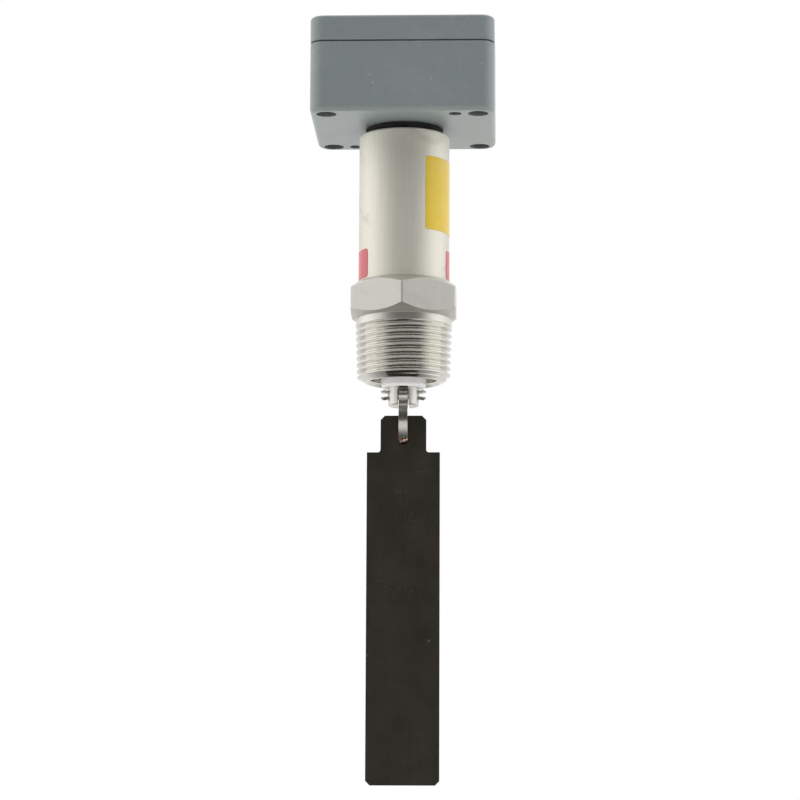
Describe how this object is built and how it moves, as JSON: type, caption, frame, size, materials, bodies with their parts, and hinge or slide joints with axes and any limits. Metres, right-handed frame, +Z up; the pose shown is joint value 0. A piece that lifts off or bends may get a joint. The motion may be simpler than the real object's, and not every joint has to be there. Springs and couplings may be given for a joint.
{
  "type": "paddle flow switch",
  "caption": "Flow switch with a hinged sheet paddle under a tapered pipe thread and hexagon, a steel stem tube and a small wiring box with a cable gland.",
  "frame": {"origin": "on the stem's axis, at the hexagon's lower face where the threaded end starts", "axes": "+Z up the stem towards the wiring box; the paddle hangs along -Z with its faces towards +Y and -Y; +Y is the flow direction; +X is along the pivot pin"},
  "size_m": [0.064, 0.0749, 0.2644],
  "materials": {
    "box_paint": "semi-matte silver-grey powder coat on die-cast aluminium",
    "stainless": "satin stainless steel",
    "turned_steel": "turned stainless steel",
    "screw_steel": "bright stainless screw",
    "nickel": "nickel-plated brass",
    "brass": "bare brass",
    "rubber": "black nitrile rubber",
    "bush_plastic": "white PTFE",
    "block_plastic": "beige polyamide",
    "carrier_plastic": "black polyamide",
    "paddle_steel": "dark oxidised stainless sheet",
    "braze": "copper-coloured braze",
    "magnet": "nickel-plated magnet",
    "reed_glass": "clear green glass",
    "brown_wire": "brown insulation",
    "blue_wire": "blue insulation",
    "yellow_foil": "yellow foil label, bare",
    "red_foil": "red foil label, bare"
  },
  "bodies": {
    "stem": {"enclosure_base": "box_paint", "terminal_block": "block_plastic", "terminal_sleeves": "brass", "terminal_screws": "screw_steel", "block_screws": "screw_steel", "earth_washer": "screw_steel", "earth_screw": "screw_steel", "gland_body": "nickel", "gland_washer": "rubber", "gland_lock_nut": "nickel", "gland_seal": "rubber", "gland_nut": "nickel", "stem_tube": "stainless", "tube_cap": "turned_steel", "tube_gasket": "rubber", "lock_washer": "screw_steel", "lock_nut": "turned_steel", "hex_fitting": "stainless", "guide_tube": "turned_steel", "ring_nut": "brass", "guide_tube_o_ring": "rubber", "guide_bush": "bush_plastic", "clevis": "turned_steel", "pivot_pin": "turned_steel", "reed_carrier": "carrier_plastic", "carrier_screw": "screw_steel", "reed_switch": "reed_glass", "reed_blades": "nickel", "brown_lead": "brown_wire", "blue_lead": "blue_wire", "yellow_label": "yellow_foil", "red_label": "red_foil"},
    "paddle_arm": {"lever": "turned_steel", "braze_fillet": "braze", "paddle": "paddle_steel"},
    "actuator": {"push_rod": "turned_steel", "magnet_holder": "brass", "magnet": "magnet", "return_spring": "turned_steel"},
    "lid": {"enclosure_lid": "box_paint", "lid_gasket": "rubber", "lid_screws": "screw_steel"}
  },
  "joints": [
    {"name": "paddle_hinge", "type": "hinge", "parent": "stem", "child": "paddle_arm", "pos_m": [0, 0, -0.0266], "axis": [1, 0, 0], "range_deg": [0, 20]},
    {"name": "push_rod_lift", "type": "slide", "parent": "stem", "child": "actuator", "axis": [0, 0, 1], "range_m": [0, 0.00116], "stiffness_N_per_m": 400, "springref_m": -0.004, "deforming": ["return_spring"]},
    {"name": "lid_lift", "type": "slide", "parent": "stem", "child": "lid", "axis": [0, 0, 1], "range_m": [0, 0.03]}
  ],
  "couplings": [
    {"joint": "push_rod_lift", "follows": "paddle_hinge", "m_per_rad": 0.0033}
  ]
}
